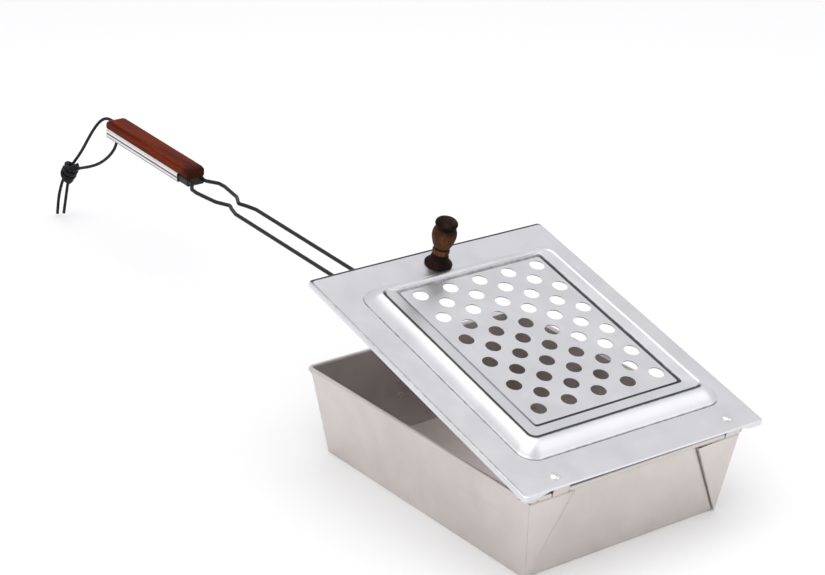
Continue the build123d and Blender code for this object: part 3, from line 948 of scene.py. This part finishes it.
@dataclass
class Lid:
    """Pressed lid: flange with a turned-down lip, raised bead and perforated panel."""

    finishes: Finishes
    seat: Seat = field(default_factory=lid_seat)
    edge: Outline = Outline((0.0, 147.95), (124.5, 153.25))
    foot: Outline = Outline((5.7, 147.4), (103.25, 120.1))
    crest: Outline = Outline((7.0, 148.8), (90.0, 105.75))
    panel: Outline = Outline((6.9, 153.2), (76.35, 97.1))
    holes: tuple[float, float] = (9.7, 156.3)
    lip: float = 3.8
    sheet: float = 0.7
    corner: float = 3.0
    lip_return: float = 15.0
    bead_rise: float = 10.0
    panel_height: float = 7.5
    panel_gap: float = 1.7
    hole_radius: float = 6.75
    pitch: float = 31.1
    row_pitch: float = 16.45
    bow: float = 0.5

    def flange_rings(self) -> list[Ring]:
        """Rings from the lip's lower edge over the flange to the bead's foot."""
        top = self.sheet
        edge, foot, corner = self.edge, self.foot, self.corner
        rings = [
            Ring(edge, corner, -self.lip),
            Ring(edge, corner, -self.lip * 0.5),
            Ring(edge, corner, top - 1.2),
            # Painted shade: dark lines along the lid's outer edge.
            Ring(edge.towards(edge, 0, 0.25), corner, top - 0.45, 0.2, FoldShade.EDGE),
            Ring(edge.towards(edge, 0, 0.85), corner, top - 0.05, 1.0, FoldShade.EDGE),
            Ring(edge.towards(edge, 0, 2.3), corner, top, 1.0, FoldShade.EDGE),
            Ring(edge.towards(edge, 0, 3.4), corner, top),
            Ring(edge.towards(edge, 0, 5.5), corner + 1.5, top),
            Ring(edge.towards(foot, 0.5, 0.0), 9.0, top),
            Ring(edge.towards(foot, 0.75, -0.5), 13.0, top),
            Ring(foot.towards(foot, 0, -1.6), 16.0, top),
            # Painted shade: a dark line round the bead's foot.
            Ring(foot.towards(foot, 0, -0.6), 15.6, top, 0.45, FoldShade.FOOT),
            Ring(foot, 15.0, top + 0.15, 0.85, FoldShade.FOOT),
        ]
        return rings

    def bead_rings(self) -> list[Ring]:
        """Rings up the bead's slope, over its crest and down to the panel."""
        top = self.sheet
        rings = []
        steps = 9
        for step in range(1, steps + 1):
            share = step / steps
            rise = self.bead_rise * (1 - (1 - share) ** 1.75)
            # Painted shade: a dark line just below the bead's crest.
            fold = {steps: 1.0, steps - 1: 0.35}.get(step, 0.0)
            slope = self.foot.towards(self.crest, share * 0.985, 0.0)
            rings.append(Ring(slope, 15.0 - 8.0 * share, top + rise, fold, FoldShade.CREST))
        peak = top + self.bead_rise
        crest, panel, low = self.crest, self.panel, self.panel_height
        rings += [
            # Painted shade: dark lines over the crest and round the panel's border.
            Ring(crest.towards(crest, 0, 0.7), 6.6, peak - 0.35, 1.0, FoldShade.CREST),
            Ring(crest.towards(crest, 0, 1.5), 6.2, peak - 0.7, 1.0, FoldShade.CREST),
            Ring(crest.towards(crest, 0, 2.2), 6.0, peak - 0.85),
            Ring(panel.towards(panel, 0, -1.8), 3.6, low + 1.6),
            Ring(panel.towards(panel, 0, -1.2), 3.2, low + 1.45, 0.8, FoldShade.PANEL),
            Ring(panel, 2.6, low + 0.95, 1.0, FoldShade.PANEL),
            Ring(panel.towards(panel, 0, 0.7), 2.3, low + 0.45, 1.0, FoldShade.PANEL),
            Ring(panel.towards(panel, 0, 1.8), 2.0, low + 0.3, 1.0, FoldShade.PANEL),
            Ring(panel.towards(panel, 0, 2.4), 1.8, low + 0.2, 0.4, FoldShade.PANEL),
        ]
        return rings

    def lip_depth(self, across: float, along: float, height: float) -> float:
        """Height of an edge point: the lip is left off along most of the hinge edge.

        Args:
            across: Place across the lid.
            along: Place along the lid.
            height: Height in the full profile.

        Returns:
            The height that the point really has.
        """
        at_hinge = along < self.edge.centre[1] - self.edge.half[1] + 0.6
        if at_hinge and abs(across) < self.edge.half[0] - self.lip_return and height < 0:
            return -0.12 + 0.02 * height
        return height

    def build_shell(self) -> bpy.types.Object:
        """Loft the shell from its rings, with the slight waves of hand-fed sheet."""
        rings: list[list[Vector]] = []
        folds: list[float] = []
        for part in self.flange_rings() + self.bead_rings():
            outline = part.outline
            ring = []
            for u, v in rounded_ring(outline.half, part.corner):
                across = outline.centre[0] + u
                along = outline.centre[1] + v
                wave = noise.noise(Vector((across, along, 0.0)) * 0.018)
                far = max(0.0, (along - self.edge.centre[1]) / self.edge.half[1])
                sag = self.bow * far**3 * (1 - (across / self.edge.half[0]) ** 2)
                depth = self.lip_depth(across, along, part.height)
                ring.append(self.seat.at(across, along, depth + 0.22 * wave + sag))
                # Painted shade: each point's darkness, stored as `fold` for the sheet finish.
                folds.append(part.fold * part.painted_shade.at(u, v, outline.half))
            rings.append(ring)
        shell = loft("lid_shell", rings)
        mark_points(shell, "fold", folds)
        thicken(shell, self.sheet)
        dress(shell, self.finishes.lid)
        return settle(shell)

    def build_panel(self) -> bpy.types.Object:
        """Make the perforated panel that closes the bead."""
        host = mesh_object("lid_perforation", [Vector((0, 0, 0))], [])
        long_rows = 6
        panel = perforation_recipe().run(
            host,
            {
                "Width": 2 * (self.panel.half[0] - self.panel_gap) * MM,
                "Length": 2 * (self.panel.half[1] - self.panel_gap) * MM,
                "Field Across": (self.holes[0] - self.panel.centre[0]) * MM,
                "Field Along": (self.holes[1] - self.panel.centre[1]) * MM,
                "Corner": 2.3 * MM,
                "Hole Radius": self.hole_radius * MM,
                "Pitch": self.pitch * MM,
                "Row Pitch": self.row_pitch * MM,
                "Sheet": self.sheet * MM,
                "Long Rows": long_rows,
                "Short Rows": long_rows - 1,
                "Long Count": 5,
                "Short Count": 4,
                "Finish": self.finishes.lid,
            },
        )
        foot = self.seat.at(*self.panel.centre, self.panel_height)
        turn = Matrix((self.seat.across, self.seat.along, self.seat.up)).transposed().to_4x4()
        panel.data.transform(Matrix.Translation(foot) @ turn)
        return panel

    def dress(self) -> None:
        """Put the shell and the panel in place of the plain lid."""
        pieces = [self.build_shell(), self.build_panel()]
        for piece in pieces:
            report(piece, Body.LID)
            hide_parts("lid_panel")
        for strap in ("hinge_strap_left", "hinge_strap_right"):
            dress(frame["nodes"][strap], self.finishes.pan)


@dataclass
class Knob:
    """Turned and burnt knob with its screw and washer."""

    finishes: Finishes
    seat: Seat = field(default_factory=lid_seat)
    spot: tuple[float, float] = (-3.0, 280.7)

    def outline(self) -> list[tuple[float, float]]:
        """Radius and height of the turning, from the foot up."""
        return [
            (0.4, 0.0), (11.6, 0.0), (12.2, 0.4), (12.3, 1.5), (11.4, 2.6), (10.0, 3.8),
            (8.9, 5.2), (8.1, 7.2), (7.7, 9.3), (7.3, 10.1), (6.7, 10.7), (6.6, 11.3),
            (7.0, 12.0), (7.5, 12.9), (7.7, 14.2), (7.5, 15.5), (7.0, 16.4), (6.6, 17.1),
            (6.5, 17.8), (6.9, 18.4), (7.7, 19.3), (8.6, 21.2), (9.5, 23.8), (10.3, 26.6),
            (10.8, 29.2), (10.9, 31.4), (10.6, 33.8), (9.8, 36.0), (8.6, 37.6), (7.9, 38.3),
            (7.9, 38.8), (8.8, 39.5), (9.6, 40.4), (10.0, 41.6), (9.8, 43.0), (9.0, 44.1),
            (7.4, 45.0), (5.0, 45.6), (2.4, 45.9), (0.3, 46.0),
        ]

    def scorch(self, height: float) -> float:
        """How burnt the wood is at a height.

        Args:
            height: Height over the foot.

        Returns:
            1 where it is charred, 0 where it is bare.
        """
        if height < 9.5 or height > 38.0:
            return 0.95
        for line in (11.0, 17.6, 20.3):
            if abs(height - line) < 0.9:
                return 0.9
        return 0.05 + 0.75 * max(0.0, (height - 27.0) / 11.0)

    def dress(self) -> None:
        """Build the knob and finish its fasteners."""
        foot = self.seat.at(self.spot[0], self.spot[1], 0.75)
        knob = revolve("knob_turning", foot, self.seat, self.outline())
        heights = [value.value for value in knob.data.attributes["turned"].data]
        mark_points(knob, "burnt", [self.scorch(height) for height in heights])
        outward(knob)
        dress(knob, self.finishes.knob)
        report(knob, Body.LID)
        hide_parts("lid_knob")
        for name in ("knob_screw", "knob_washer"):
            dress(frame["nodes"][name], self.finishes.fastener)


@dataclass
class Studs:
    """Rivets and screws that show as domed heads."""

    finishes: Finishes

    def heads(
        self,
        name: str,
        spots: list[tuple[Vector, Vector]],
        radius: float,
        dome: float,
    ) -> bpy.types.Object:
        """Set domed heads on spots.

        Args:
            name: Name of the piece.
            spots: Places in metres, each with its outward axis.
            radius: Head radius.
            dome: Dome height.

        Returns:
            The mesh of all heads.
        """
        host = mesh_object(name, [place for place, _ in spots], [])
        axes = host.data.attributes.new("axis", "FLOAT_VECTOR", "POINT")
        axes.data.foreach_set("vector", [part for _, axis in spots for part in axis])
        return stud_recipe().run(
            host,
            {
                "Head Radius": radius * MM,
                "Dome": dome * MM,
                "Finish": self.finishes.fastener,
            },
        )

    def dress(self) -> None:
        """Build the hinge rivets' heads and finish the plain fasteners."""
        seat = lid_seat(shift=0.0, skew=0.0)
        spots = []
        for x in (-82.0, 100.0):
            spots.append((seat.at(x, 8.0, 0.8), seat.up))
            spots.append((seat.at(x, 8.0, -0.8), -seat.up))
        rivets = settle(self.heads("hinge_rivet_heads", spots, 4.6, 1.9), 60.0)
        report(rivets, Body.LID)
        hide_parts("hinge_rivets")
        for name in ("bracket_rivets", "grip_screws"):
            dress(frame["nodes"][name], self.finishes.fastener)


# ------------------------------------------------------------------ pan
@dataclass
class Pan:
    """Folded tray with its corner pleats."""

    finishes: Finishes
    seat: Seat = field(default_factory=hinge_wall_seat)
    bottom_half: float = 101.0
    top_half: float = 110.7
    rise: float = 74.4
    pleat: float = 46.0
    plate: float = 1.4

    def build_pleat(self, side: int, stand_off: float) -> bpy.types.Object:
        """Make the outer leaf of a corner pleat.

        Args:
            side: -1 for the left corner, 1 for the right.
            stand_off: How far the leaf's free edge stands off the wall.

        Returns:
            The leaf as a closed sheet.
        """
        rows, columns = 16, 14
        rings: list[list[Vector]] = []
        folds: list[float] = []
        for row in range(rows + 1):
            up = 0.02 + 0.98 * row / rows
            ring = []
            for column in range(columns + 1):
                out = column / columns
                x_corner = self.bottom_half + up * (self.top_half - self.bottom_half)
                x = side * (x_corner - out * self.pleat * up - 0.4)
                lift = self.plate + 0.35 + stand_off * out**3 * (0.35 + 0.65 * up)
                if column == columns:
                    lift -= 0.45
                ring.append(self.seat.at(x, up * self.rise - 1.0, lift))
                # Painted shade: a dark line along the leaf's free edge, where it stands off the wall.
                folds.append(0.55 if column == columns else 0.0)
            rings.append(ring if side < 0 else list(reversed(ring)))
            if side > 0:
                folds[-columns - 1:] = list(reversed(folds[-columns - 1:]))
        leaf = loft(f"pleat_{'left' if side < 0 else 'right'}", rings, closed=False)
        mark_points(leaf, "fold", folds)
        thicken(leaf, 0.35)
        dress(leaf, self.finishes.pleat)
        return settle(leaf)

    def dress(self) -> None:
        """Finish the tray, its rim wire and bracket, and add the pleats' leaves."""
        for name in ("pan_body", "rim_wire", "handle_bracket"):
            dress(frame["nodes"][name], self.finishes.pan)
        for side, stand_off in ((-1, 0.1), (1, 1.1)):
            report(self.build_pleat(side, stand_off), Body.PAN)


# ------------------------------------------------------------------ handle
@dataclass
class Grip:
    """Wood bar over a bright channel, on the end of the two wires."""

    finishes: Finishes
    seat: Seat = field(default_factory=handle_seat)
    start: float = 361.0
    length: float = 158.5
    half_width: float = 10.4
    base: float = 2.3
    height: float = 10.7
    end_round: float = 9.0
    end_drop: float = 4.6
    ferrule: float = 17.0
    channel_depth: float = 8.1

    def section(self, s: float, swell: float, drop: float) -> list[Vector]:
        """One cross-section of the wood bar.

        Args:
            s: Distance along the handle.
            swell: Factor on the width.
            drop: How far the top sinks there.

        Returns:
            Points round the section, anticlockwise seen from the pan.
        """
        top = self.base + self.height - drop
        half_high = (top - self.base) / 2
        middle = (top + self.base) / 2
        points = []
        for u, h in rounded_ring((self.half_width * swell, half_high), 3.0, 6, 5):
            points.append(self.seat.at(-u, s, middle + h))
        return points

    def build_wood(self) -> bpy.types.Object:
        """Loft the bar, rounded down towards its free end."""
        steps = 60
        rings: list[list[Vector]] = []
        burnt: list[float] = []
        end = self.start + self.length
        for step in range(steps + 1):
            share = step / steps
            s = self.start + self.length * (1 - (1 - share) ** 1.6)
            to_end = end - s
            from_start = s - self.start
            drop = 0.0
            if to_end < self.end_round:
                part = 1 - to_end / self.end_round
                drop = self.end_drop * (1 - (1 - part**2) ** 0.5)
            drop += 0.8 * max(0.0, 1 - from_start / 2.5) ** 2
            swell = 1 - 0.10 * max(0.0, 1 - to_end / 2.2) ** 2
            swell -= 0.05 * max(0.0, 1 - from_start / 2.0) ** 2
            ring = self.section(s, swell, drop)
            rings.append(ring)
            scorch = 0.75 * max(0.0, 1 - from_start / 34.0) + 0.5 * max(0.0, 1 - to_end / 5.0)
            burnt += [scorch] * len(ring)
        wood = loft("grip_bar", rings, caps=True)
        mark_points(wood, "burnt", burnt)
        outward(wood)
        dress(wood, self.finishes.grip)
        return settle(wood, 50.0)

    def build_channel(self) -> bpy.types.Object:
        """Loft the pressed channel with its bead line along both sides, with painted shade in the
        bead's groove and round its lower edge.
        """
        low = self.base - self.channel_depth
        half = self.half_width
        # Third number: painted shade, dark in the bead's groove and round the lower edge.
        side = [
            (half - 0.7, self.base + 0.9, 0.0),
            (half - 0.1, self.base + 0.1, 0.0),
            (half + 0.15, self.base - 0.6, 0.0),
            (half + 0.1, self.base - 2.1, 0.0),
            (half - 0.25, self.base - 2.6, 0.8),
            (half - 0.95, self.base - 3.1, 1.0),
            (half - 0.95, self.base - 3.8, 1.0),
            (half - 0.25, self.base - 4.3, 0.8),
            (half + 0.05, self.base - 4.8, 0.0),
            (half, low + 2.3, 0.0),
            (half, low + 1.6, 0.75),
            (half - 0.4, low + 0.8, 1.0),
            (half - 1.3, low + 0.2, 1.0),
            (half - 2.2, low, 0.0),
        ]
        section = side + [(-u, h, fold) for u, h, fold in reversed(side)]
        first = self.start + self.ferrule
        last = self.start + self.length - 2.5
        steps = 40
        rings = []
        folds: list[float] = []
        for step in range(steps + 1):
            s = first + (last - first) * step / steps
            rings.append([self.seat.at(u, s, h) for u, h, _ in reversed(section)])
            folds += [fold for _, _, fold in reversed(section)]
        channel = loft("grip_channel_sheet", rings, closed=False)
        mark_points(channel, "fold", folds)
        thicken(channel, 0.7)
        dress(channel, self.finishes.bright)
        return settle(channel)

    def dress(self) -> None:
        """Build the wood and channel, and finish the wires and ferrule."""
        wood = report(self.build_wood(), Body.PAN)
        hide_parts("grip_wood")
        channel = report(self.build_channel(), Body.PAN)
        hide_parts("grip_channel")
        for name in ("handle_wire_left", "handle_wire_right", "grip_ferrule"):
            dress(frame["nodes"][name], self.finishes.paint)


# ------------------------------------------------------------------ lace
@dataclass
class Lanyard:
    """Round lace through the grip's end, tied in a knot with two loose tails."""

    finishes: Finishes
    seat: Seat = field(default_factory=handle_seat)
    diameter: float = 3.2
    upper_length: float = 170.0
    lower_length: float = 155.1
    knot_top: tuple[float, float, float] = (-12.2, 734.5, 69.5)
    knot_bottom: tuple[float, float, float] = (-15.8, 750.5, 40.5)

    def upper_route(self) -> list[Vector]:
        """Route of the upper strand from the grip's end through the knot, in metres."""
        rest = [
            (-0.5, 683.0, 129.2), (-2.0, 690.5, 125.8), (-3.6, 697.5, 119.4),
            (-5.6, 705.5, 109.2), (-7.6, 714.0, 96.5), (-9.4, 723.0, 83.0),
            (-11.6, 733.5, 70.0), (-13.8, 743.5, 58.5), (-16.0, 752.5, 46.0),
            (-17.8, 757.8, 32.0), (-19.0, 761.0, 18.0), (-19.9, 762.4, 2.4),
        ]
        start = [self.seat.at(0, 519.5, 8), self.seat.at(0, 525.5, 8)]
        return start + [Vector(point) * MM for point in rest]

    def lower_route(self) -> list[Vector]:
        """Route of the lower strand from under the grip through the knot, in metres."""
        rest = [
            (-0.4, 667.5, 101.5), (-1.6, 674.0, 93.0), (-3.2, 682.5, 85.0),
            (-5.4, 693.5, 77.0), (-8.4, 706.5, 70.5), (-11.0, 721.5, 65.0),
            (-13.0, 734.5, 60.0), (-14.4, 743.0, 51.0), (-15.0, 746.5, 39.0),
            (-15.6, 750.0, 24.0), (-16.6, 754.2, 5.0),
        ]
        start = [self.seat.at(0, 514, -5.8), self.seat.at(0, 514, -10.8)]
        return start + [Vector(point) * MM for point in rest]

    def strand(self, name: str, route: list[Vector]) -> bpy.types.Object:
        """Make one strand as a smooth curve of the lace's thickness.

        Args:
            name: Name of the piece.
            route: Control points in metres.

        Returns:
            The curve object.
        """
        curve = bpy.data.curves.new(name, "CURVE")
        curve.dimensions = "3D"
        line = curve.splines.new("NURBS")
        line.points.add(len(route) - 1)
        for point, place in zip(line.points, route):
            point.co = (*place, 1.0)
        line.order_u = 3
        line.use_endpoint_u = True
        line.resolution_u = 10
        curve.bevel_depth = self.diameter / 2 * MM
        curve.bevel_resolution = 5
        curve.use_fill_caps = True
        piece = bpy.data.objects.new(name, curve)
        bpy.context.scene.collection.objects.link(piece)
        curve.materials.append(self.finishes.lace)
        return piece

    def knot_route(self) -> list[Vector]:
        """Winding of the knot: tight turns round both strands, then a slanting turn over them."""
        top = Vector(self.knot_top)
        bottom = Vector(self.knot_bottom)
        axis = (bottom - top).normalized()
        side = axis.cross(Vector((0, 0, 1))).normalized()
        front = axis.cross(side)
        length = (bottom - top).length
        points = []
        turns, steps = 3.3, 150
        for step in range(steps + 1):
            share = step / steps
            angle = 2 * pi * turns * share
            radius = 5.0 + 1.4 * sin(pi * share) + 0.5 * sin(3.0 * angle + 1.0)
            reach = length * (0.18 + 0.62 * share) + 1.3 * sin(angle + 0.6)
            points.append(top + axis * reach + (side * cos(angle) + front * sin(angle)) * radius)
        last_angle = 2 * pi * turns
        for step in range(1, 61):
            share = step / 60
            angle = last_angle + 2 * pi * 1.1 * share
            radius = 5.4 + 1.7 * sin(pi * share)
            reach = length * (0.80 - 0.72 * share)
            points.append(top + axis * reach + (side * cos(angle) + front * sin(angle)) * radius)
        return [point * MM for point in points]

    def build_knot(self) -> bpy.types.Object:
        """Run the lace's tube along the knot's winding."""
        route = self.knot_route()
        mesh = bpy.data.meshes.new("lace_knot")
        edges = [(index, index + 1) for index in range(len(route) - 1)]
        mesh.from_pydata([tuple(point) for point in route], edges, [])
        host = bpy.data.objects.new("lace_knot", mesh)
        bpy.context.scene.collection.objects.link(host)
        return tube_recipe().run(
            host, {"Radius": (self.diameter / 2 + 0.75) * MM, "Finish": self.finishes.lace}
        )

    def dress(self) -> None:
        knot = report(self.build_knot(), Body.PAN)
        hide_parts("lanyard_knot")
        strands = (
            ("lace_upper", self.upper_route(), self.upper_length, "lanyard_upper", [knot]),
            ("lace_lower", self.lower_route(), self.lower_length, "lanyard_lower", []),
        )
        for name, route, length, node, on_it in strands:
            piece = report(self.strand(name, route), Body.PAN)
            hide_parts(node)
        dress(frame["nodes"]["lanyard_core"], self.finishes.lace)


# ------------------------------------------------------------------ studio
@dataclass
class Studio:
    """Pale floor, soft lights and the camera."""

    finishes: Finishes
    azimuth: float = -37.14
    elevation: float = 22.69
    roll: float = 1.26
    distance: float = 2015.7
    aim: tuple[float, float, float] = (-36.1, 104.9, 148.3)
    lens: float = 103.9
    floor_half: float = 9.0

    def camera_axes(self) -> Matrix:
        """Right, up and back axes of the camera as the columns of a rotation."""
        az, el, roll = (radians(a) for a in (self.azimuth, self.elevation, self.roll))
        back = Vector((sin(az) * cos(el), -cos(az) * cos(el), sin(el)))
        level = Vector((cos(az), sin(az), 0))
        upright = back.cross(level)
        right = level * cos(roll) + upright * sin(roll)
        return Matrix((right, back.cross(right), back)).transposed()

    def place_camera(self) -> None:
        """Create the camera and make it the scene's."""
        data = bpy.data.cameras.new("camera")
        data.lens = self.lens
        data.sensor_width = 36.0
        camera = bpy.data.objects.new("camera", data)
        axes = self.camera_axes()
        place = (Vector(self.aim) + axes.col[2] * self.distance) * MM
        camera.matrix_world = Matrix.Translation(place) @ axes.to_4x4()
        bpy.context.scene.collection.objects.link(camera)
        bpy.context.scene.camera = camera

    def place_floor(self) -> None:
        """Lay the pale floor under the pan."""
        reach = self.floor_half
        corners = [Vector((x, y, -0.0004)) for x, y in
                   ((-reach, -reach), (reach, -reach), (reach, reach), (-reach, reach))]
        floor = mesh_object("floor", corners, [(0, 1, 2, 3)])
        dress(floor, self.finishes.floor)

    def softbox(self, name: str, place: tuple[float, float, float], size: float,
                power: float) -> None:
        """Hang a square soft light that faces the pan.

        Args:
            name: Name of the light.
            place: Where it hangs, in metres.
            size: Length of its side, in metres.
            power: Watts.
        """
        data = bpy.data.lights.new(name, "AREA")
        data.size = size
        data.energy = power
        light = bpy.data.objects.new(name, data)
        light.location = place
        aim = Vector((0, 0.1, 0.05)) - Vector(place)
        light.rotation_euler = aim.to_track_quat("-Z", "Y").to_euler()
        bpy.context.scene.collection.objects.link(light)

    def light(self) -> None:
        """Soft light from all round, stronger from above left."""
        world = bpy.data.worlds.new("studio")
        world.use_nodes = True
        backdrop = world.node_tree.nodes["Background"]
        backdrop.inputs["Color"].default_value = (0.985, 0.985, 1.0, 1.0)
        backdrop.inputs["Strength"].default_value = 0.86
        bpy.context.scene.world = world
        bpy.context.scene.view_settings.view_transform = "Standard"
        self.softbox("overhead", (-0.3, 0.0, 2.6), 2.6, 24.0)
        self.softbox("front_right", (1.7, -1.6, 1.9), 1.8, 6.0)
        self.softbox("left", (-2.4, -0.4, 1.2), 1.6, 6.0)

    def dress(self) -> None:
        """Set the stage."""
        self.place_camera()
        self.place_floor()
        self.light()


def main() -> None:
    """Build the popper piece by piece."""
    logging.basicConfig(level=logging.INFO, format="%(name)s: %(message)s")
    finishes = Finishes()
    Studio(finishes).dress()
    Lanyard(finishes).dress()
    Pan(finishes).dress()
    Lid(finishes).dress()
    Studs(finishes).dress()
    Knob(finishes).dress()
    Grip(finishes).dress()


if __name__ == "__main__":
    main()
